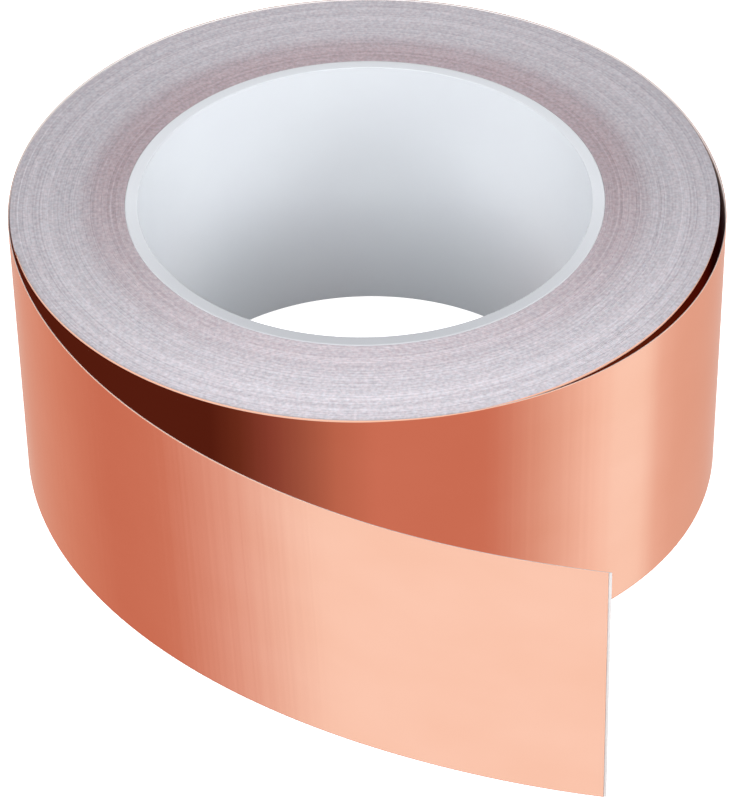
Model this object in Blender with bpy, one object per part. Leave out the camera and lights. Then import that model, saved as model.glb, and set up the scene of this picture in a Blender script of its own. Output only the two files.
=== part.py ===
"""Roll of copper foil tape for stained glass work, standing on its flat side.

Copper foil, its adhesive and a paper release liner are wound together on a white core. The last turn
is loose, and its free end stands off the roll in an open curl. The free end bends where it is divided
into links, each hinged to the one before on an upright axis, and the liner peels back from the cut end.

Units are metres and +Z is up. The origin is on the floor, under the middle of the object's own box.
Angles around the roll start at +X and run anticlockwise, which is also the way the tape is wound.
"""

import math

import bmesh
import bpy
import numpy as np

MM = 0.001

# Roll
TAPE_WIDTH = 50.8 * MM  # two inch tape, and a core of the same height
BORE_RADIUS = 38.1 * MM  # three inch core
CORE_WALL = 2.2 * MM
CORE_CHAMFER = 0.3 * MM
BOND_THICKNESS = 0.1 * MM
BOND_ARC = math.radians(40)
BOND_MARGIN = 3.0 * MM  # from the bond strip's ends to the core's ends
BOND_GAP = 0.03 * MM
PACK_RADIUS = 59.3 * MM

# Laminate, from its inner face outwards: (first depth, last depth) of each layer
LINER = (0.0, 0.085 * MM)
ADHESIVE = (0.095 * MM, 0.12 * MM)
FOIL = (0.13 * MM, 0.18 * MM)
LAMINATE = FOIL[1]
LAYERS = {"liner": LINER, "adhesive": ADHESIVE, "foil": FOIL}

# Last turn, wound loosely over the tight ones
TURN_CLEARANCE = 0.06 * MM
TURN_START = math.radians(-165)
LOOSE_FROM = math.radians(-90)
LOOSE_TO = math.radians(25)
LOOSE_GAP = 1.6 * MM
LOOSE_RISE = 0.25 * MM  # the last turn and the free end have crept up, so they clear the floor
LIFT_ANGLE = math.radians(170)  # where the tape leaves the roll

# Free end: the curl opens from the roll's radius towards the set radius over the relaxing length
SET_RADIUS = 277.5 * MM
RELAX_LENGTH = 92.0 * MM
TAIL_LENGTH = 155.0 * MM  # from where the tape leaves the roll to the cut end of the foil
FIRST_HINGE = 40.0 * MM  # from the same place
LINK_COUNT = 5
TAB_COUNT = 3
TAB_LENGTH = 6.5 * MM
LINER_OVERHANG = 0.5 * MM
HINGE_GAP = 0.1 * MM

# Facets
TURN_STEPS = 96
TAIL_STEP = 3.0 * MM
PATH_STEP = 0.1 * MM

LINK_LENGTH = (TAIL_LENGTH - FIRST_HINGE) / LINK_COUNT
HINGES = [FIRST_HINGE + k * LINK_LENGTH for k in range(LINK_COUNT)]
TAB_HINGES = [TAIL_LENGTH + LINER_OVERHANG - TAB_LENGTH * (TAB_COUNT - k) for k in range(TAB_COUNT)]

COPPER = (0.80, 0.40, 0.26)
GLUE = (0.86, 0.80, 0.66)
PAPER = (0.90, 0.89, 0.87)
WOUND_EDGE = (0.60, 0.52, 0.58)
CORE_WHITE = (0.80, 0.82, 0.84)


def coil_radius(angle):
    """Radius of the last turn's inner face: it climbs by one laminate a turn, and bulges where it is loose."""
    climb = (LAMINATE + TURN_CLEARANCE) * (angle - TURN_START) / math.tau
    share = (angle - LOOSE_FROM) / (LOOSE_TO - LOOSE_FROM)
    bulge = LOOSE_GAP * math.sin(math.pi * share) ** 2 if 0 < share < 1 else 0.0
    return PACK_RADIUS + TURN_CLEARANCE + climb + bulge


def tail_path():
    """Lengths from the lifting point, and the inner face's x, y and heading there, about the roll's axis."""
    lift_radius = coil_radius(LIFT_ANGLE)
    length = np.arange(0, TAIL_LENGTH + LINER_OVERHANG + PATH_STEP, PATH_STEP)
    curvature = 1 / SET_RADIUS + (1 / lift_radius - 1 / SET_RADIUS) * np.exp(-length / RELAX_LENGTH)
    turned = np.concatenate([[0], np.cumsum((curvature[1:] + curvature[:-1]) / 2 * PATH_STEP)])
    heading = LIFT_ANGLE + math.pi / 2 + turned
    ahead = np.stack([np.cos(heading), np.sin(heading)], axis=1)
    steps = np.concatenate([[[0, 0]], np.cumsum((ahead[1:] + ahead[:-1]) / 2 * PATH_STEP, axis=0)])
    lift = lift_radius * np.array([math.cos(LIFT_ANGLE), math.sin(LIFT_ANGLE)])
    return length, lift[0] + steps[:, 0], lift[1] + steps[:, 1], heading


TAIL = tail_path()


def turn_station(angle):
    """(x, y) on the last turn's inner face, and the unit normal pointing out of the roll."""
    out = np.array([math.cos(angle), math.sin(angle)])
    return coil_radius(angle) * out, out


def tail_station(length):
    """The same on the free end, at this length from the lifting point."""
    x, y, heading = (np.interp(length, TAIL[0], column) for column in TAIL[1:])
    return np.array([x, y]), np.array([math.sin(heading), -math.cos(heading)])


def tail_stations(first, last):
    count = max(1, round((last - first) / TAIL_STEP))
    return [tail_station(first + (last - first) * k / count) for k in range(count + 1)]


def turn_stations():
    """From the hidden start of the last turn to the lifting point, at the pack's own facet angles."""
    step = math.tau / TURN_STEPS
    count = math.floor((LIFT_ANGLE - TURN_START) / step)
    return [turn_station(TURN_START + step * k) for k in range(count + 1)]


def plan_extent():
    """Middle of the object's box in plan, about the roll's axis."""
    stations = turn_stations() + tail_stations(0, FIRST_HINGE) + tail_stations(FIRST_HINGE, TAIL_LENGTH)
    faces = np.array([point + out * depth for point, out in stations for depth in (0, LAMINATE)])
    return (faces.min(axis=0) + faces.max(axis=0)) / 2


ROLL_AXIS = -plan_extent()


def hinge_place(length, depth):
    """World (x, y) of an upright hinge axis at this length along the free end, at a depth in the laminate."""
    point, out = tail_station(length)
    return ROLL_AXIS + point + out * depth


def clear_scene():
    for old in list(bpy.data.objects):
        bpy.data.objects.remove(old, do_unlink=True)


def material(name, color, metallic, roughness):
    made = bpy.data.materials.new(name)
    made.use_nodes = True
    shader = made.node_tree.nodes["Principled BSDF"]
    shader.inputs["Base Color"].default_value = (*color, 1)
    shader.inputs["Metallic"].default_value = metallic
    shader.inputs["Roughness"].default_value = roughness
    return made


def body(name, place, parent=None):
    """An empty on the body's own axis. Its nodes and the bodies hinged to it are its children."""
    empty = bpy.data.objects.new(name + "_body", None)
    bpy.context.collection.objects.link(empty)
    empty.parent = parent
    origin = np.array(parent["place"]) if parent else np.zeros(2)
    empty.location = (*(place - origin), 0)
    empty["place"] = list(place)
    return empty


def add_node(name, bm, carrier, finish, base=0.0):
    """Links a mesh built about its body's own axis, with its underside at the given height."""
    bmesh.ops.recalc_face_normals(bm, faces=bm.faces)
    mesh = bpy.data.meshes.new(name)
    bm.to_mesh(mesh)
    bm.free()
    mesh.materials.append(finish)
    mesh.shade_smooth()
    mesh.set_sharp_from_angle(angle=math.radians(30))
    node = bpy.data.objects.new(name, mesh)
    bpy.context.collection.objects.link(node)
    node.parent = carrier
    node.location = (0, 0, base)
    return node


def strip(name, stations, layer, carrier, finish, width=TAPE_WIDTH, base=LOOSE_RISE):
    """A thin upright wall along the stations, between two depths outward from them."""
    bm = bmesh.new()
    shift = ROLL_AXIS - np.array(carrier["place"])
    rows = [[bm.verts.new((*(point + out * depth + shift), 0)) for depth in layer] for point, out in stations]
    floor = [bm.faces.new((a[0], a[1], b[1], b[0])) for a, b in zip(rows, rows[1:])]
    raised = bmesh.ops.extrude_face_region(bm, geom=floor)["geom"]
    lifted = [item for item in raised if isinstance(item, bmesh.types.BMVert)]
    bmesh.ops.translate(bm, verts=lifted, vec=(0, 0, width))
    return add_node(name, bm, carrier, finish, base)


def turned(name, profile, carrier, finish):
    """A ring whose closed (radius, height) profile goes once round the roll's axis."""
    bm = bmesh.new()
    angles = [TURN_START + math.tau * k / TURN_STEPS for k in range(TURN_STEPS)]
    rings = [[bm.verts.new((r * math.cos(a), r * math.sin(a), z)) for r, z in profile] for a in angles]
    for here, after in zip(rings, rings[1:] + rings[:1]):
        for k in range(len(profile)):
            nearer = (k + 1) % len(profile)
            bm.faces.new((here[k], after[k], after[nearer], here[nearer]))
    return add_node(name, bm, carrier, finish)


def core_profile():
    """A tube's wall, its four edges chamfered."""
    inner, outer = BORE_RADIUS, BORE_RADIUS + CORE_WALL
    low, high, cut = 0.0, TAPE_WIDTH, CORE_CHAMFER
    return [
        (inner, low + cut),
        (inner + cut, low),
        (outer - cut, low),
        (outer, low + cut),
        (outer, high - cut),
        (outer - cut, high),
        (inner + cut, high),
        (inner, high - cut),
    ]


def build_roll(carrier, finishes):
    """Core, the bond that holds the tape's inner end to it, and the tightly wound turns as one ring."""
    core_radius = BORE_RADIUS + CORE_WALL
    bond_inner = core_radius + BOND_GAP
    pack_inner = bond_inner + BOND_THICKNESS + BOND_GAP
    turned("core_tube", core_profile(), carrier, finishes["core"])
    low, high = 0.0, TAPE_WIDTH
    wall = [(pack_inner, low), (PACK_RADIUS, low), (PACK_RADIUS, high), (pack_inner, high)]
    turned("wound_turns", wall, carrier, finishes["wound"])
    step = math.tau / TURN_STEPS
    arc = [TURN_START + step * k for k in range(round(BOND_ARC / step) + 1)]
    outs = [np.array([math.cos(a), math.sin(a)]) for a in arc]
    width = TAPE_WIDTH - 2 * BOND_MARGIN
    stations = [(bond_inner * out, out) for out in outs]
    strip("core_bond", stations, (0, BOND_THICKNESS), carrier, finishes["adhesive"], width, BOND_MARGIN)


def build_last_turn(carrier, finishes):
    """The loose turn, as far as the first hinge of the free end."""
    stations = turn_stations()[:-1] + tail_stations(0, FIRST_HINGE - HINGE_GAP / 2)
    for layer, depths in LAYERS.items():
        strip("last_turn_" + layer, stations, depths, carrier, finishes[layer])


def build_link(number, carrier, finishes):
    """One link of the free end. The last link's liner stops where the peeling tabs begin."""
    first = HINGES[number] + HINGE_GAP / 2
    last = HINGES[number] + LINK_LENGTH - HINGE_GAP / 2
    is_last = number == LINK_COUNT - 1
    for layer, depths in LAYERS.items():
        end = last
        if is_last:
            end = TAB_HINGES[0] - HINGE_GAP / 2 if layer == "liner" else TAIL_LENGTH
        strip(f"tail_{number + 1}_{layer}", tail_stations(first, end), depths, carrier, finishes[layer])


def build_tab(number, carrier, finishes):
    """One link of the liner's loose end, which reaches a little past the cut foil."""
    first = TAB_HINGES[number] + HINGE_GAP / 2
    is_last = number == TAB_COUNT - 1
    last = TAB_HINGES[number] + TAB_LENGTH - (0 if is_last else HINGE_GAP / 2)
    strip(f"liner_tab_{number + 1}", tail_stations(first, last), LINER, carrier, finishes["liner"])


def build():
    clear_scene()
    finishes = {
        "core": material("core_white", CORE_WHITE, 0.0, 0.55),
        "wound": material("wound_edge", WOUND_EDGE, 0.3, 0.6),
        "foil": material("copper_foil", COPPER, 1.0, 0.25),
        "adhesive": material("clear_adhesive", GLUE, 0.0, 0.4),
        "liner": material("release_paper", PAPER, 0.0, 0.6),
    }
    roll = body("roll", ROLL_AXIS)
    build_roll(roll, finishes)
    build_last_turn(roll, finishes)
    carrier = roll
    for number, length in enumerate(HINGES):
        carrier = body(f"tail_{number + 1}", hinge_place(length, LAMINATE / 2), carrier)
        build_link(number, carrier, finishes)
    for number, length in enumerate(TAB_HINGES):
        carrier = body(f"liner_tab_{number + 1}", hinge_place(length, sum(LINER) / 2), carrier)
        build_tab(number, carrier, finishes)


build()
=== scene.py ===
import math
import random

import bpy
from mathutils import Matrix, Vector


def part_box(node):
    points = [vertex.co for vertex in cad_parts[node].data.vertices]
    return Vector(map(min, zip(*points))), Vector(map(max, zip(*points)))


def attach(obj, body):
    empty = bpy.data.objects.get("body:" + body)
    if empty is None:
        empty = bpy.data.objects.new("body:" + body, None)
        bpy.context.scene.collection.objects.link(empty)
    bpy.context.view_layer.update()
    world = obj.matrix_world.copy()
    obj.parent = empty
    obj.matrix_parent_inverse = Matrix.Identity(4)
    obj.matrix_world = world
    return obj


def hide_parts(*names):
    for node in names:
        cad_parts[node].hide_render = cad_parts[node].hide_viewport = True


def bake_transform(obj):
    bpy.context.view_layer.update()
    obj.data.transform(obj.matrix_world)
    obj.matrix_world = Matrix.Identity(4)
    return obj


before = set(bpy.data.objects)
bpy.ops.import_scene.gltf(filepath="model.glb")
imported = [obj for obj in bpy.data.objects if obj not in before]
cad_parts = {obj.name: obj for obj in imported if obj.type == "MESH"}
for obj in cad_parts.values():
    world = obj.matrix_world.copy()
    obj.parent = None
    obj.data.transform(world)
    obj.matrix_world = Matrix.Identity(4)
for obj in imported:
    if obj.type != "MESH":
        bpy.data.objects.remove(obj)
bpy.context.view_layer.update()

# ---- the roll's own measures, as the CAD has them (metres) ----
MM = 0.001
TAPE_WIDTH = 50.8 * MM
BORE_RADIUS = 38.1 * MM
CORE_RADIUS = 40.3 * MM
PACK_INNER = 40.46 * MM
PACK_RADIUS = 59.3 * MM
LAYERS = {                       # depth below the strip's inner face, from and to
    "liner": (0.0, 0.085 * MM),
    "adhesive": (0.095 * MM, 0.12 * MM),
    "foil": (0.13 * MM, 0.18 * MM),
}
LAMINATE = 0.18 * MM
TURN_CLEARANCE = 0.06 * MM
TURN_START = math.radians(-165)
LOOSE_FROM = math.radians(-90)
LOOSE_TO = math.radians(25)
LOOSE_GAP = 1.6 * MM
LOOSE_RISE = 0.25 * MM
LIFT_ANGLE = math.radians(170)
SET_RADIUS = 277.5 * MM
RELAX_LENGTH = 92.0 * MM
TAIL_LENGTH = 155.0 * MM
LINER_OVERHANG = 0.5 * MM
FIRST_HINGE = 40.0 * MM
LINK_COUNT = 5
TAB_COUNT = 3
TAB_LENGTH = 6.5 * MM
PATH_STEP = 0.1 * MM
LINK_LENGTH = (TAIL_LENGTH - FIRST_HINGE) / LINK_COUNT
LINER_END = TAIL_LENGTH + LINER_OVERHANG
HINGES = [FIRST_HINGE + k * LINK_LENGTH for k in range(LINK_COUNT)]
TAB_HINGES = [LINER_END - TAB_LENGTH * (TAB_COUNT - k) for k in range(TAB_COUNT)]

# The roll's axis, from the core's own box.
core_low, core_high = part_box("core_tube")
AXIS = Vector(((core_low[0] + core_high[0]) / 2, (core_low[1] + core_high[1]) / 2, 0.0))

STRIP_STEP = 0.5 * MM            # segment length along the strip
FIRST_BEND = 11.5 * MM           # half length of the strip that bends at the first hinge
LEAN = 1.95 * MM                 # the free end's top edge leans out by this, and its bottom edge in
LEAN_FROM, LEAN_TO = 28 * MM, 135 * MM


# ---- the strip's path ----
def climb(angle):
    """The rise of the spiral since the last turn's start."""
    return (LAMINATE + TURN_CLEARANCE) * (angle - TURN_START) / math.tau


def coil_radius(angle):
    """Inner face of the last turn."""
    share = (angle - LOOSE_FROM) / (LOOSE_TO - LOOSE_FROM)
    bulge = LOOSE_GAP * math.sin(math.pi * share) ** 2 if 0 < share < 1 else 0.0
    return PACK_RADIUS + TURN_CLEARANCE + climb(angle) + bulge


def tail_curve():
    """Points (x, y, heading) of the free end's inner face, one each PATH_STEP, about the roll's axis."""
    start = coil_radius(LIFT_ANGLE)
    x, y = start * math.cos(LIFT_ANGLE), start * math.sin(LIFT_ANGLE)
    heading = LIFT_ANGLE + math.pi / 2
    points = [(x, y, heading)]
    curvature = 1 / start
    relaxed = 1 / SET_RADIUS
    for step in range(1, int(round((LINER_END + MM) / PATH_STEP)) + 1):
        length = step * PATH_STEP
        after = relaxed + (1 / start - relaxed) * math.exp(-length / RELAX_LENGTH)
        turned = heading + (curvature + after) / 2 * PATH_STEP
        x += (math.cos(heading) + math.cos(turned)) / 2 * PATH_STEP
        y += (math.sin(heading) + math.sin(turned)) / 2 * PATH_STEP
        heading, curvature = turned, after
        points.append((x, y, heading))
    return points


TAIL = tail_curve()


def tail_station(length):
    """(inner face point, outward normal) at this length along the free end."""
    place = length / PATH_STEP
    at = min(int(place), len(TAIL) - 2)
    part = place - at
    x, y, heading = (a + (b - a) * part for a, b in zip(TAIL[at], TAIL[at + 1]))
    return Vector((x, y)), Vector((math.sin(heading), -math.cos(heading)))


def turn_station(angle):
    """(inner face point, outward normal) of the last turn at this angle."""
    def point(a):
        return Vector((math.cos(a), math.sin(a))) * coil_radius(a)
    nudge = 1e-4
    along = (point(angle + nudge) - point(angle - nudge)).normalized()
    return point(angle), Vector((along.y, -along.x))


def lean(length):
    """How far out the top edge stands from the strip's middle at this length."""
    share = min(max((length - LEAN_FROM) / (LEAN_TO - LEAN_FROM), 0.0), 1.0)
    return LEAN * share * share * (3 - 2 * share)


def stations(start, end):
    """Stations from one length to another. A length below 0 is on the roll, before the lifting point."""
    count = max(2, math.ceil((end - start) / STRIP_STEP))
    found = []
    for step in range(count + 1):
        length = start + (end - start) * step / count
        if length < 0:
            found.append((length, *turn_station(LIFT_ANGLE + length / PACK_RADIUS)))
        else:
            found.append((length, *tail_station(length)))
    return found


# ---- mesh building ----
def mesh_object(name, points, faces, material, normals=None, strip_uv=None):
    mesh = bpy.data.meshes.new(name)
    mesh.from_pydata([tuple(p) for p in points], [], faces)
    mesh.polygons.foreach_set("use_smooth", [True] * len(faces))
    mesh.materials.append(material)
    if strip_uv:
        layer = mesh.uv_layers.new(name="strip")
        for loop in mesh.loops:
            layer.data[loop.index].uv = strip_uv[loop.vertex_index]
    mesh.update()
    if normals:
        mesh.normals_split_custom_set_from_vertices([tuple(n) for n in normals])
    obj = bpy.data.objects.new(name, mesh)
    bpy.context.scene.collection.objects.link(obj)
    return obj


# The foil's slit edge is rounded by its normals, over a height chosen to match the photo's bright rim line.
# The surface itself turns in only by EDGE_SINK.
EDGE_SINK = 0.02 * MM
WIDE_ROLL = 0.42 * MM            # the height where the last turn starts
THIN_ROLL = 0.12 * MM            # and further on
ROLL_TAPER = (-275 * MM, -250 * MM)      # between these lengths it goes from one to the other
ROLL_TILT = 1.1                  # how far the normal tilts right at the edge
RIM_LEVELS = (0.42 * MM, 0.3 * MM, 0.18 * MM, 0.12 * MM, 0.06 * MM)     # rows of points below the edge
STRIP_ROWS = 6                   # and the even rows of the whole width


def edge_roll(length):
    """Height of the rounded edge at this length."""
    share = min(max((length - ROLL_TAPER[0]) / (ROLL_TAPER[1] - ROLL_TAPER[0]), 0.0), 1.0)
    return WIDE_ROLL + (THIN_ROLL - WIDE_ROLL) * share


def strip_piece(name, start, end, layer, material):
    """One layer of the strip from one length to another: two broad faces, two long edges and two ends. Each
    of the six has its own points and normals. The foil's ends are square, so they stand up to EDGE_SINK proud
    of its rounded edges, and those corners are not closed."""
    inner, outer = LAYERS[layer]
    low, high = LOOSE_RISE, TAPE_WIDTH + LOOSE_RISE
    points, normals, uvs, faces = [], [], [], []

    def grid(rows, flip):
        """rows of (point, normal, uv); neighbouring rows are joined by quads."""
        first = len(points)
        width = len(rows[0])
        for row in rows:
            for point, normal, uv in row:
                points.append(point)
                normals.append(normal)
                uvs.append(uv)
        for r in range(len(rows) - 1):
            for c in range(width - 1):
                a = first + r * width + c
                quad = (a, a + 1, a + width + 1, a + width)
                faces.append(quad[::-1] if flip else quad)

    def corner(station, depth, z):
        length, face, out = station
        plan = face + out * (depth + lean(length) * (2 * (z - low) / (high - low) - 1))
        return AXIS + Vector((plan.x, plan.y, z))

    def facing(station):
        length, _, out = station
        return Vector((out.x, out.y, -2 * lean(length) / (high - low))).normalized()

    def rolled(length, z):
        """Nearness to the top and the bottom edge at this height: 0 on the flat, 1 right at the edge."""
        roll = edge_roll(length)
        return max(0.0, 1 - (high - z) / roll), max(0.0, 1 - (z - low) / roll)

    def skin(station, depth, z, side):
        top, bottom = rolled(station[0], z) if layer == "foil" and side > 0 else (0.0, 0.0)
        sunk = depth - EDGE_SINK * (top * top + bottom * bottom)
        tilt = Vector((0, 0, ROLL_TILT * (math.sqrt(top) - math.sqrt(bottom))))
        normal = (facing(station) * side + tilt).normalized()
        return corner(station, sunk, z), normal, (station[0], z)

    run = stations(start, end)
    levels = [low + (high - low) * k / STRIP_ROWS for k in range(STRIP_ROWS + 1)]
    if layer == "foil":
        levels[1:1] = [low + r for r in reversed(RIM_LEVELS)]
        levels[-1:-1] = [high - r for r in RIM_LEVELS]
    for depth, side in ((outer, 1), (inner, -1)):
        grid([[skin(s, depth, z, side) for z in levels] for s in run], flip=side > 0)
    for z, side in ((high, 1), (low, -1)):
        lip = outer - (EDGE_SINK if layer == "foil" else 0.0)
        normal = Vector((0, 0, side))
        grid([[(corner(s, d, z), normal, (s[0], z)) for d in (lip, inner)] for s in run], flip=side > 0)
    for s, side in ((run[0], -1), (run[-1], 1)):
        along = Vector((-s[2].y, s[2].x, 0)) * side
        grid([[(corner(s, d, z), along, (s[0], z)) for z in levels] for d in (inner, outer)], flip=side < 0)
    return mesh_object(name, points, faces, material, normals, uvs)


# ---- materials ----
def new_material(name):
    material = bpy.data.materials.new(name)
    material.use_nodes = True
    nodes = material.node_tree.nodes
    return material, nodes, material.node_tree.links, nodes["Principled BSDF"]


def object_place(nodes):
    """The point in the object's own frame, in metres."""
    return nodes.new("ShaderNodeTexCoord").outputs["Object"]


def strip_place(nodes):
    """The strip's own coordinates: X along it and Y up it."""
    uv = nodes.new("ShaderNodeUVMap")
    uv.uv_map = "strip"
    return uv.outputs["UV"]


def axes_of(nodes, links, vector):
    """Outputs X, Y and Z of a vector."""
    split = nodes.new("ShaderNodeSeparateXYZ")
    links.new(vector, split.inputs["Vector"])
    return split.outputs


def noise(nodes, links, vector, scale, detail):
    node = nodes.new("ShaderNodeTexNoise")
    node.inputs["Scale"].default_value = scale
    node.inputs["Detail"].default_value = detail
    links.new(vector, node.inputs["Vector"])
    return node.outputs["Fac"]


def strip_grain(nodes, links, along, across, detail):
    """Noise with this many cells to the metre along the strip and across it."""
    mapping = nodes.new("ShaderNodeMapping")
    mapping.inputs["Scale"].default_value = (along, across, 1.0)
    links.new(strip_place(nodes), mapping.inputs["Vector"])
    return noise(nodes, links, mapping.outputs["Vector"], 1.0, detail)


def fade(nodes, links, source, start, end, low=0.0, high=1.0, curve="LINEAR"):
    """Goes from low to high as the source goes from start to end, and holds beyond them."""
    spread = nodes.new("ShaderNodeMapRange")
    spread.interpolation_type = curve
    for socket, value in (("From Min", start), ("From Max", end), ("To Min", low), ("To Max", high)):
        spread.inputs[socket].default_value = value
    links.new(source, spread.inputs["Value"])
    return spread.outputs["Result"]


def value_range(nodes, links, source, low, high, target):
    links.new(fade(nodes, links, source, 0.0, 1.0, low, high), target)


def maths(nodes, links, operation, *sources):
    """One Math node. A source is another node's output or a plain number."""
    node = nodes.new("ShaderNodeMath")
    node.operation = operation
    for socket, source in zip(node.inputs, sources):
        if isinstance(source, float):
            socket.default_value = source
        else:
            links.new(source, socket)
    return node.outputs[0]


def vector_maths(nodes, links, operation, vector):
    node = nodes.new("ShaderNodeVectorMath")
    node.operation = operation
    links.new(vector, node.inputs[0])
    return node


def value_mix(nodes, links, factor, first, second):
    mix = nodes.new("ShaderNodeMix")
    mix.inputs[0].default_value = factor
    links.new(first, mix.inputs[2])
    links.new(second, mix.inputs[3])
    return mix.outputs[0]


def colour_mix(nodes, links, factor):
    """The two colour inputs of a mix, and its output."""
    mix = nodes.new("ShaderNodeMix")
    mix.data_type = "RGBA"
    links.new(factor, mix.inputs[0])
    return mix.inputs[6], mix.inputs[7], mix.outputs[2]


def colour_ramp(nodes, links, source, stops, target):
    ramp = nodes.new("ShaderNodeValToRGB")
    elements = ramp.color_ramp.elements
    while len(elements) < len(stops):
        elements.new(0.5)
    for element, (position, colour) in zip(elements, stops):
        element.position = position
        element.color = (*colour, 1.0)
    links.new(source, ramp.inputs["Fac"])
    links.new(ramp.outputs["Color"], target)


def bump(nodes, links, source, distance, strength, shader, under=None):
    node = nodes.new("ShaderNodeBump")
    node.inputs["Distance"].default_value = distance
    node.inputs["Strength"].default_value = strength
    links.new(source, node.inputs["Height"])
    if under:
        links.new(under.outputs["Normal"], node.inputs["Normal"])
    links.new(node.outputs["Normal"], shader.inputs["Normal"])
    return node


def copper_foil():
    """Rolled copper: a satin mirror with fine lines along the strip, faint patches of warmer metal, and
    slight waves that streak its reflections from edge to edge."""
    material, nodes, links, shader = new_material("copper_foil")
    shader.inputs["Metallic"].default_value = 1.0
    shader.inputs["Specular Tint"].default_value = (0.93, 0.80, 0.73, 1)
    patches = strip_grain(nodes, links, 45, 60, 3)
    colour_ramp(nodes, links, patches,
                [(0.35, (0.955, 0.548, 0.405)), (0.65, (0.972, 0.572, 0.432))], shader.inputs["Base Color"])
    lines = strip_grain(nodes, links, 60, 5200, 4)
    value_range(nodes, links, lines, 0.11, 0.17, shader.inputs["Roughness"])
    waves = strip_grain(nodes, links, 600, 4, 2)
    slow = bump(nodes, links, waves, 0.05 * MM, 0.4, shader)
    bump(nodes, links, lines, 0.004 * MM, 0.12, shader, slow)
    return material


def release_liner():
    """Coated white paper with a soft fibre. Its upper slit edge has a brown band of painted shade, a look
    that follows the photo.
    """
    material, nodes, links, shader = new_material("release_liner")
    fibre = strip_grain(nodes, links, 900, 1500, 5)
    height = axes_of(nodes, links, strip_place(nodes))["Y"]
    edge = TAPE_WIDTH + LOOSE_RISE
    # painted shade: a brown band just under the upper slit edge
    slit = fade(nodes, links, height, edge - 0.08 * MM, edge - 0.02 * MM)
    paper, brown, colour = colour_mix(nodes, links, slit)
    brown.default_value = (0.36, 0.28, 0.26, 1)
    colour_ramp(nodes, links, fibre, [(0.3, (0.86, 0.84, 0.84)), (0.7, (0.92, 0.90, 0.90))], paper)
    links.new(colour, shader.inputs["Base Color"])
    value_range(nodes, links, fibre, 0.55, 0.75, shader.inputs["Roughness"])
    bump(nodes, links, fibre, 0.01 * MM, 0.3, shader)
    return material


def clear_adhesive():
    """The film of glue between the foil and the liner: clear, a little cloudy."""
    material, nodes, links, shader = new_material("clear_adhesive")
    cloud = strip_grain(nodes, links, 300, 300, 3)
    colour_ramp(nodes, links, cloud,
                [(0.3, (0.62, 0.50, 0.46)), (0.7, (0.72, 0.61, 0.56))], shader.inputs["Base Color"])
    value_range(nodes, links, cloud, 0.25, 0.4, shader.inputs["Roughness"])
    return material


def radius_and_place(nodes, links):
    """Distance from the roll's axis, and the point measured from that axis, in metres."""
    shift = vector_maths(nodes, links, "SUBTRACT", object_place(nodes))
    shift.inputs[1].default_value = AXIS
    flat = vector_maths(nodes, links, "MULTIPLY", shift.outputs["Vector"])
    flat.inputs[1].default_value = (1, 1, 0)
    length = vector_maths(nodes, links, "LENGTH", flat.outputs["Vector"])
    return length.outputs["Value"], shift.outputs["Vector"]


def wound_edge():
    """The side of the wound tape: its many paper and copper edges, lilac-grey, and pinker near the core."""
    material, nodes, links, shader = new_material("wound_edge")
    radius, place = radius_and_place(nodes, links)
    # Each turn keeps one tint all the way round: noise read along the radius only.
    along = nodes.new("ShaderNodeCombineXYZ")
    links.new(radius, along.inputs["X"])
    turns = noise(nodes, links, along.outputs["Vector"], 3600, 2)
    bands = noise(nodes, links, along.outputs["Vector"], 420, 2)
    grain = noise(nodes, links, place, 1700, 3)
    lightness = value_mix(nodes, links, 0.4, value_mix(nodes, links, 0.4, turns, bands), grain)
    # Painted light: in front the pinker band is weaker and the whole face is lighter, and towards the back it
    # is darker. Both follow the photo.
    to_back = axes_of(nodes, links, place)["Y"]
    near_core = fade(nodes, links, radius, 43.5 * MM, 50.0 * MM, 1.0, 0.0, "SMOOTHSTEP")
    share = fade(nodes, links, to_back, -45 * MM, 10 * MM, 0.3)
    lilac, pink, tinted = colour_mix(nodes, links, maths(nodes, links, "MULTIPLY", near_core, share))
    for target, low, high in ((lilac, (0.305, 0.286, 0.314), (0.532, 0.51, 0.546)),
                              (pink, (0.246, 0.192, 0.21), (0.44, 0.372, 0.40))):
        colour_ramp(nodes, links, lightness, [(0.37, low), (0.63, high)], target)
    # painted light: the face's colour is scaled lighter in front and darker towards the back
    shade = vector_maths(nodes, links, "SCALE", tinted)
    links.new(fade(nodes, links, to_back, -58 * MM, 40 * MM, 1.06, 0.88), shade.inputs["Scale"])
    # Specks of bluer paper and pinker copper.
    specks = noise(nodes, links, place, 2300, 2)
    mottled = vector_maths(nodes, links, "MULTIPLY", shade.outputs["Vector"])
    colour_ramp(nodes, links, specks,
                [(0.36, (0.95, 0.985, 1.00)), (0.64, (1.05, 1.00, 0.995))], mottled.inputs[1])
    links.new(mottled.outputs["Vector"], shader.inputs["Base Color"])
    value_range(nodes, links, grain, 0.45, 0.7, shader.inputs["Roughness"])
    bump(nodes, links, lightness, 0.04 * MM, 0.35, shader)
    return material


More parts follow.
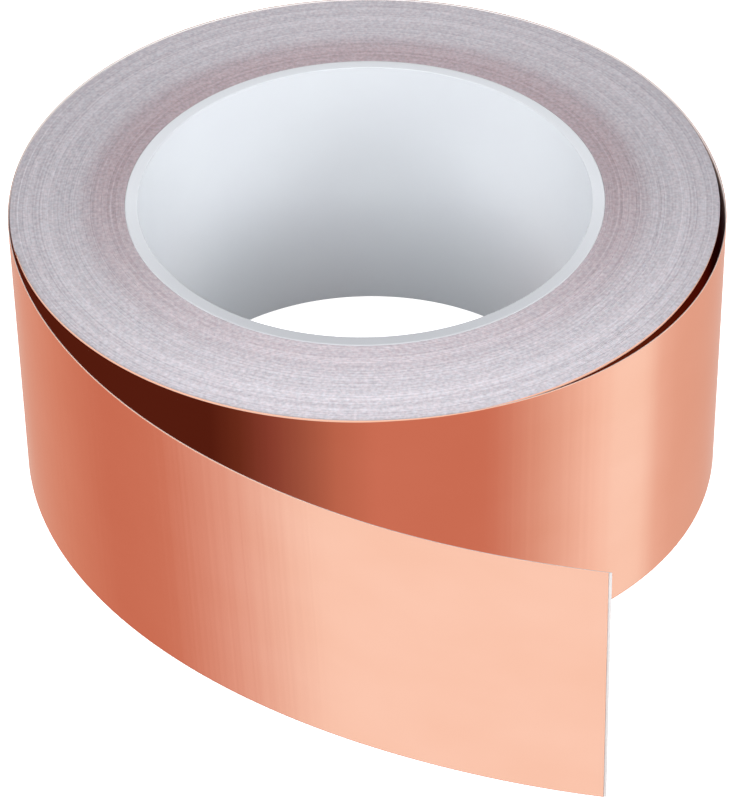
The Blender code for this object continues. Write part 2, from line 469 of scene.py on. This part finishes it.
def core_white():
    """Smooth moulded white with a faint satin skin."""
    material, nodes, links, shader = new_material("core_white")
    place = object_place(nodes)
    cloud = noise(nodes, links, place, 60, 4)
    skin = noise(nodes, links, place, 1800, 2)
    # Painted shade: the upper end face is greyer than the bore, and more so in front. Both follow the photo.
    axes = axes_of(nodes, links, place)
    end_face = fade(nodes, links, axes["Z"], TAPE_WIDTH - 0.25 * MM, TAPE_WIDTH - 0.05 * MM)
    in_front = fade(nodes, links, axes["Y"], AXIS.y - BORE_RADIUS, AXIS.y, 1.0, 0.0)
    # painted shade on the upper end face, deeper in front
    end_shade_back, end_shade_front, grey = colour_mix(nodes, links, in_front)
    end_shade_back.default_value = (0.56, 0.58, 0.615, 1)
    end_shade_front.default_value = (0.37, 0.38, 0.405, 1)
    wall, end, colour = colour_mix(nodes, links, end_face)
    colour_ramp(nodes, links, cloud, [(0.3, (0.69, 0.715, 0.755)), (0.7, (0.71, 0.74, 0.775))], wall)
    links.new(grey, end)
    links.new(colour, shader.inputs["Base Color"])
    value_range(nodes, links, skin, 0.38, 0.5, shader.inputs["Roughness"])
    bump(nodes, links, skin, 0.01 * MM, 0.25, shader)
    return material


COPPER = copper_foil()
LINER = release_liner()
GLUE = clear_adhesive()
FACE = wound_edge()
CORE = core_white()
LAYER_LOOK = {                   # each layer's material and the record's slot
    "liner": (LINER, "release_liner"),
    "adhesive": (GLUE, "clear_adhesive"),
    "foil": (COPPER, "copper_foil"),
}


# ---- the core ----
def ring_faces(segments, count):
    """Quads of a closed ring: outlines of count points each, joined in order and back to the first."""
    faces = []
    for step in range(segments):
        after = (step + 1) % segments
        for k in range(count):
            m = (k + 1) % count
            faces.append((step * count + k, step * count + m, after * count + m, after * count + k))
    return faces


def on_roll(radius, angle, z):
    return AXIS + Vector((radius * math.cos(angle), radius * math.sin(angle), z))


CORE_LIP, CORE_CHAMFER = 0.3 * MM, 0.12 * MM
LIP_STEPS, WALL_STEPS, CORE_SEGMENTS = 5, 10, 256


def core():
    """The tube, with small rounded outer lips at both ends and a fine chamfer into the bore."""
    top, low = TAPE_WIDTH, 0.0
    profile = []

    def fillet(radius, z, from_angle):
        for step in range(LIP_STEPS + 1):
            a = math.radians(from_angle - 90 * step / LIP_STEPS)
            profile.append((radius + CORE_LIP * math.cos(a), z + CORE_LIP * math.sin(a)))

    fillet(CORE_RADIUS - CORE_LIP, low + CORE_LIP, 0)
    profile.append((BORE_RADIUS + CORE_CHAMFER, low))
    profile.append((BORE_RADIUS, low + CORE_CHAMFER))
    for step in range(1, WALL_STEPS):
        height = (top - low - 2 * CORE_CHAMFER) * step / WALL_STEPS
        profile.append((BORE_RADIUS, low + CORE_CHAMFER + height))
    profile.append((BORE_RADIUS, top - CORE_CHAMFER))
    profile.append((BORE_RADIUS + CORE_CHAMFER, top))
    fillet(CORE_RADIUS - CORE_LIP, top - CORE_LIP, 90)
    angles = [math.tau * step / CORE_SEGMENTS for step in range(CORE_SEGMENTS)]
    points = [on_roll(radius, angle, z) for angle in angles for radius, z in profile]
    obj = mesh_object("core_shell", points, ring_faces(CORE_SEGMENTS, len(profile)), CORE)
    obj.data.set_sharp_from_angle(angle=math.radians(25))
    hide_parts("core_tube")
    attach(obj, "roll")


# ---- the wound tape ----
SPIRAL_FROM = 54 * MM            # outside this the turns show the spiral's rise, one turn's step at the seam
EDGE_DEPTH = 0.06 * MM           # from the crest of a turn's edge to the groove beside it
SHOULDER_DEPTH = EDGE_DEPTH * 0.3        # and a quarter of a turn to each side of the crest
FACE_SINK = 0.03 * MM            # of both faces below the core's ends
PACK_SEGMENTS = 192
SKIN_SEGMENTS = 360
SKIN_STAND = 0.025 * MM          # the copper skin's stand-off from the tight turns' own outer wall
SKIN_ROLL = 0.7 * MM             # height of the skin's rounded edge, which is in its normals only
SKIN_TILTS = ((0.0, 0.0), (0.2, 0.6), (0.5, 0.8), (1.0, 1.1))    # (share of that height, normal's tilt)


def wound_pack():
    """One ring. Its upper face has the edge of every turn, and its underside a step every second turn. The
    turns stand a few hundredths of a millimetre higher or lower than each other, as a winder leaves them."""
    turn_count = int((PACK_RADIUS - PACK_INNER) / LAMINATE)
    pitch = (PACK_RADIUS - PACK_INNER) / turn_count
    draws = random.Random(7)
    heights = [draws.uniform(-0.05, 0.02) * MM for _ in range(turn_count)]
    tilts = [(draws.uniform(0, 0.025) * MM, draws.uniform(0, math.tau)) for _ in range(turn_count)]
    profile = [(CORE_RADIUS + 0.01 * MM, 1, 0, EDGE_DEPTH)]     # (radius, side, turn, depth)
    for turn in range(turn_count):
        base = PACK_INNER + turn * pitch
        profile += [(base, 1, turn, EDGE_DEPTH), (base + pitch * 0.25, 1, turn, SHOULDER_DEPTH),
                    (base + pitch * 0.5, 1, turn, 0.0), (base + pitch * 0.75, 1, turn, SHOULDER_DEPTH)]
    profile.append((PACK_RADIUS, 1, turn_count - 1, 0.0))
    for turn in reversed(range(0, turn_count, 2)):
        base = PACK_INNER + turn * pitch
        profile.append((base + pitch, -1, turn, 0.0))
    points = []
    for step in range(PACK_SEGMENTS):
        angle = TURN_START + math.tau * step / PACK_SEGMENTS
        for radius, side, turn, depth in profile:
            size, phase = tilts[turn]
            offset = heights[turn] + size * math.sin(angle + phase) - FACE_SINK - depth
            z = TAPE_WIDTH + offset if side > 0 else -offset
            share = min(max((radius - SPIRAL_FROM) / (PACK_RADIUS - SPIRAL_FROM), 0.0), 1.0)
            points.append(on_roll(radius + climb(angle) * share, angle, max(z, 0.0)))
    obj = mesh_object("wound_pack", points, ring_faces(PACK_SEGMENTS, len(profile)), FACE)
    obj.data.set_sharp_from_angle(angle=math.radians(50))
    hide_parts("wound_turns")
    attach(obj, "roll")


def pack_skin():
    """The copper outside of the last tight turn, as an open sheet. It shows where the free end lifts away and
    in the loose turn's gap."""
    points, normals, uvs, faces = [], [], [], []
    top, low = TAPE_WIDTH - 0.02 * MM, 0.03 * MM
    levels = [(low, -1.0), (low + SKIN_ROLL, 0.0), ((low + top) / 2, 0.0)]
    levels += [(top - SKIN_ROLL * (1 - share), tilt) for share, tilt in SKIN_TILTS]
    width = len(levels)
    for step in range(SKIN_SEGMENTS + 1):
        angle = TURN_START + math.tau * step / SKIN_SEGMENTS
        radius = PACK_RADIUS + climb(angle if step < SKIN_SEGMENTS else TURN_START) + SKIN_STAND
        for z, tilt in levels:
            points.append(on_roll(radius, angle, z))
            normals.append(Vector((math.cos(angle), math.sin(angle), tilt)).normalized())
            uvs.append((angle * PACK_RADIUS, z))
    for step in range(SKIN_SEGMENTS):
        for k in range(width - 1):
            a = step * width + k
            faces.append((a, a + width, a + width + 1, a + 1))
    obj = mesh_object("pack_skin", points, faces, COPPER, normals, uvs)
    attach(obj, "roll")


ADHESIVE_SHOWS = 0.1 * MM        # past the foil's cut end
LAYER_ENDS = {"liner": TAB_HINGES[0], "adhesive": TAIL_LENGTH + ADHESIVE_SHOWS, "foil": TAIL_LENGTH}


def finish_strip(node):
    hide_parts(node)


def strip():
    """Every layer runs on from piece to piece. A piece is centred on a hinge, with its ends on the links
    before and after."""
    turn_start = (TURN_START - LIFT_ANGLE) * PACK_RADIUS
    joints = [HINGES[0] - FIRST_BEND] + [h + LINK_LENGTH / 2 for h in HINGES[:-1]]
    for layer in LAYERS:
        look = LAYER_LOOK[layer][0]
        turn = strip_piece(f"turn_{layer}", turn_start, joints[0], layer, look)
        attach(turn, "roll")
        finish_strip(f"last_turn_{layer}")
        for k, hinge in enumerate(HINGES):
            last = k == LINK_COUNT - 1
            end = joints[k + 1] if not last else LAYER_ENDS[layer]
            piece = strip_piece(f"end_{k + 1}_{layer}", joints[k], end, layer, look)
            finish_strip(f"tail_{k + 1}_{layer}")
            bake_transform(piece)


def peeling_liner():
    """The liner at the cut end. Its first piece starts at its hinge, where the glue holds it."""
    middles = [h + TAB_LENGTH / 2 for h in TAB_HINGES]
    for k in range(TAB_COUNT):
        start = TAB_HINGES[0] if k == 0 else middles[k - 1]
        end = LINER_END if k == TAB_COUNT - 1 else middles[k]
        piece = strip_piece(f"peel_{k + 1}_liner", start, end, "liner", LINER)
        finish_strip(f"liner_tab_{k + 1}")
        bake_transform(piece)


# ---- studio ----
def glowing_material(name):
    """A material that only glows, and its Emission node."""
    material = bpy.data.materials.new(name)
    material.use_nodes = True
    nodes = material.node_tree.nodes
    nodes.clear()
    out = nodes.new("ShaderNodeOutputMaterial")
    glow = nodes.new("ShaderNodeEmission")
    material.node_tree.links.new(glow.outputs["Emission"], out.inputs["Surface"])
    return material, glow


def gloss_only(obj):
    obj.visible_camera = obj.visible_diffuse = obj.visible_shadow = obj.visible_transmission = False


# The cards' colours and angles are chosen so that the copper reflects the photo's gradients.
WHITE_CARD = (1.01, 1.01, 1.01)
PEACH_CARD = (0.82, 0.63, 0.576)
CLAY_CARD = (0.62, 0.273, 0.207)
DOME_CARDS = [                    # round the table, by compass angle in degrees
    (0, WHITE_CARD), (6, WHITE_CARD), (15, (0.87, 0.71, 0.67)), (26, PEACH_CARD), (60, PEACH_CARD),
    (85, (0.80, 0.58, 0.52)), (115, (0.80, 0.54, 0.465)), (130, (0.76, 0.475, 0.405)),
    (143, (0.705, 0.39, 0.315)), (160, CLAY_CARD), (175, (0.63, 0.29, 0.22)), (190, (0.79, 0.555, 0.515)),
    (207, WHITE_CARD), (258, WHITE_CARD), (282, CLAY_CARD), (305, CLAY_CARD), (323, (0.77, 0.535, 0.47)),
    (344, (0.97, 0.87, 0.84)), (353, WHITE_CARD), (360, WHITE_CARD),
]
DOME_RADIUS, DOME_SEGMENTS, DOME_RINGS = 8.0, 96, 24
CARD_TOP = 1.5                    # above this height the dome is white all round


def reflection_dome():
    """Tinted cards all round, which only reflections see."""
    points, faces = [], []
    for ring in range(DOME_RINGS + 1):
        tilt = math.pi * ring / DOME_RINGS
        for step in range(DOME_SEGMENTS):
            a = math.tau * step / DOME_SEGMENTS
            out = Vector((math.sin(tilt) * math.cos(a), math.sin(tilt) * math.sin(a), math.cos(tilt)))
            points.append(out * DOME_RADIUS)
    for ring in range(DOME_RINGS):
        for step in range(DOME_SEGMENTS):
            after = (step + 1) % DOME_SEGMENTS
            a, b = ring * DOME_SEGMENTS + step, ring * DOME_SEGMENTS + after
            faces.append((a, b, b + DOME_SEGMENTS, a + DOME_SEGMENTS))
    material, glow = glowing_material("dome_cards")
    nodes, links = material.node_tree.nodes, material.node_tree.links
    axes = axes_of(nodes, links, object_place(nodes))
    bearing = maths(nodes, links, "ARCTAN2", axes["Y"], axes["X"])
    share = maths(nodes, links, "FRACT", maths(nodes, links, "DIVIDE", bearing, math.tau))
    cards, sky, colour = colour_mix(nodes, links, fade(nodes, links, axes["Z"], 0.0, CARD_TOP))
    sky.default_value = (*WHITE_CARD, 1)
    colour_ramp(nodes, links, share, [(a / 360, c) for a, c in DOME_CARDS], cards)
    links.new(colour, glow.inputs["Color"])
    gloss_only(mesh_object("reflection_dome", points, faces, material))


# painted shade: the glow of the cards inside the free end, which the copper reflects
FLAG_SHADE_COLOURS = [                  # along the free end, in millimetres from where it lifts
    (0, (0.092, 0.020, 0.011)), (78, (0.092, 0.020, 0.011)), (84, (0.146, 0.041, 0.023)),
    (91, (0.25, 0.080, 0.060)), (99, (0.37, 0.150, 0.107)), (107, (0.52, 0.223, 0.16)),
    (118, CLAY_CARD), (155, CLAY_CARD),
]
# painted shade: the glow of the card in the loose turn's gap, which the copper reflects
TURN_FLAG_SHADE_COLOURS = [             # in the loose turn's gap, by compass angle in degrees
    (-90, (0.110, 0.030, 0.016)), (-45, (0.100, 0.022, 0.010)), (-30, (0.075, 0.010, 0.003)),
    (-20, (0.064, 0.006, 0.002)), (-13, (0.012, 0.0008, 0.0006)), (25, (0.008, 0.0015, 0.001)),
]
FLAG_LOW, FLAG_HIGH = -60 * MM, 50.5 * MM
FLAG_START = 14 * MM              # length along the free end
FLAG_INSET = 0.8 * MM             # how far inside the strip a card stands at most
FLAG_INSET_REACH = 30 * MM        # over this length the inset grows to that
FLAG_OVERLAP = 1.2 * MM           # so that no light shows between two cards when a hinge opens
TURN_FLAG_STEPS = 60


def flag_material(name, colours, start, end):
    """A glow whose colour runs along the card, whose own coordinate goes from start to end."""
    material, glow = glowing_material(name)
    nodes, links = material.node_tree.nodes, material.node_tree.links
    place = axes_of(nodes, links, strip_place(nodes))["X"]
    stops = [((at - start) / (end - start), colour) for at, colour in colours]
    colour_ramp(nodes, links, fade(nodes, links, place, start, end), stops, glow.inputs["Color"])
    return material


def flag_card(name, rows, material, body):
    """An upright card through these (own coordinate, plan point) rows, which only reflections see."""
    points, uvs, faces = [], [], []
    for place, plan in rows:
        for z in (FLAG_LOW, FLAG_HIGH):
            points.append(AXIS + Vector((plan.x, plan.y, z)))
            uvs.append((place, z))
    for row in range(len(rows) - 1):
        a = 2 * row
        faces.append((a, a + 1, a + 3, a + 2))
    card = mesh_object(name, points, faces, material, strip_uv=uvs)
    gloss_only(card)
    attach(card, body)
    return card


def gap_flags():
    """Glowing dark cards of painted shade: just inside the free end, where they go with its links, and in the
    loose turn's gap. The copper reflects them, dark in place of the gaps' shade.
    """
    material = flag_material("gap_shade_cards", FLAG_SHADE_COLOURS, 0, TAIL_LENGTH / MM)
    edges = [FLAG_START] + HINGES + [TAIL_LENGTH]
    for k in range(LINK_COUNT + 1):
        rows = []
        start = edges[k] - (FLAG_OVERLAP if k else 0.0)
        end = edges[k + 1] + (FLAG_OVERLAP if k < LINK_COUNT else 0.0)
        for length, face, out in stations(start, end):
            grown = min(((length - FLAG_START) / FLAG_INSET_REACH) ** 2, 1.0)
            inset = FLAG_INSET * grown + lean(length) + 0.02 * MM
            rows.append((length / MM, face - out * inset))
        flag_card(f"gap_flag_{k}", rows, material, f"tail_{k}" if k else "roll")
    rows = []
    for step in range(TURN_FLAG_STEPS + 1):
        angle = LOOSE_FROM + (LOOSE_TO - LOOSE_FROM) * step / TURN_FLAG_STEPS
        middle = (coil_radius(angle) + PACK_RADIUS + climb(angle)) / 2
        rows.append((math.degrees(angle), Vector((math.cos(angle), math.sin(angle))) * middle))
    start, end = math.degrees(LOOSE_FROM), math.degrees(LOOSE_TO)
    material = flag_material("turn_gap_shade_card", TURN_FLAG_SHADE_COLOURS, start, end)
    card = flag_card("gap_flag_turn", rows, material, "roll")
    card.visible_shadow = True                       # it keeps the light off the liner in there too


FLOOR_HALF = 4.0
FLOOR_DROP = 0.2 * MM             # below the object's rest face
ROLL_MIDDLE = (0, 0, 0.03)


def floor():
    """Pure white: it glows enough to hide every shadow, like the photo's plain background."""
    material, _, _, shader = new_material("floor_white")
    shader.inputs["Base Color"].default_value = (0.7, 0.7, 0.7, 1)
    shader.inputs["Roughness"].default_value = 0.9
    shader.inputs["Specular IOR Level"].default_value = 0.0
    shader.inputs["Emission Color"].default_value = (1, 1, 1, 1)
    shader.inputs["Emission Strength"].default_value = 1.0
    corners = [(x * FLOOR_HALF, y * FLOOR_HALF, -FLOOR_DROP) for x, y in ((-1, -1), (1, -1), (1, 1), (-1, 1))]
    plane = mesh_object("floor", corners, [(0, 1, 2, 3)], material)
    plane.visible_glossy = plane.visible_diffuse = False


def area_light(name, place, target, width, height, watts):
    data = bpy.data.lights.new(name, "AREA")
    data.shape = "RECTANGLE"
    data.size, data.size_y = width, height
    data.energy = watts
    lamp = bpy.data.objects.new(name, data)
    bpy.context.scene.collection.objects.link(lamp)
    lamp.location = place
    lamp.rotation_euler = (Vector(target) - Vector(place)).to_track_quat("-Z", "Y").to_euler()
    lamp.visible_glossy = False


def studio():
    world = bpy.data.worlds.new("studio")
    bpy.context.scene.world = world
    world.use_nodes = True
    background = world.node_tree.nodes["Background"]
    background.inputs["Color"].default_value = (1, 1, 1, 1)
    background.inputs["Strength"].default_value = 0.14
    reflection_dome()
    gap_flags()
    floor()
    # Each lamp's place, aim, width, height and watts. The watts are matched to the photo's light.
    area_light("near_front", (0.0, -0.36, 0.25), ROLL_MIDDLE, 0.35, 0.15, 1.12)
    area_light("left_high", (-0.6, -0.1, 0.5), ROLL_MIDDLE, 0.5, 0.5, 3.6)
    area_light("right_high", (0.6, -0.1, 0.5), ROLL_MIDDLE, 0.5, 0.5, 3.4)
    area_light("left_low", (-1.2, -0.7, 0.45), ROLL_MIDDLE, 0.9, 0.7, 2.9)
    area_light("right_low", (1.2, -0.7, 0.45), ROLL_MIDDLE, 0.9, 0.7, 5.3)
    area_light("overhead", (0.0, -0.45, 1.0), (0, -0.05, 0.03), 0.8, 0.6, 2.2)
    bpy.context.scene.view_settings.view_transform = "Standard"


CAMERA_ELEVATION = math.radians(39.23)
CAMERA_ROLL = math.radians(-0.88)
CAMERA_DISTANCE = 676.3 * MM
CAMERA_TARGET_HEIGHT = 6.6 * MM
CAMERA_LENS = 173.86


def camera():
    e = CAMERA_ELEVATION
    back = Vector((0, -math.cos(e), math.sin(e)))
    right = Vector((1, 0, 0))
    up = back.cross(right)
    c, s = math.cos(CAMERA_ROLL), math.sin(CAMERA_ROLL)
    side, top = right * c + up * s, up * c - right * s
    data = bpy.data.cameras.new("camera")
    data.sensor_width = 36
    data.lens = CAMERA_LENS
    data.clip_start, data.clip_end = 0.05, 50
    view = bpy.data.objects.new("camera", data)
    bpy.context.scene.collection.objects.link(view)
    place = AXIS + Vector((0, 0, CAMERA_TARGET_HEIGHT)) + back * CAMERA_DISTANCE
    view.matrix_world = Matrix((
        (side.x, top.x, back.x, place.x),
        (side.y, top.y, back.y, place.y),
        (side.z, top.z, back.z, place.z),
        (0, 0, 0, 1)))
    bpy.context.scene.camera = view


camera()
studio()
core()
wound_pack()
pack_skin()
strip()
peeling_liner()
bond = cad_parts["core_bond"]
bond.data.materials.clear()
bond.data.materials.append(GLUE)
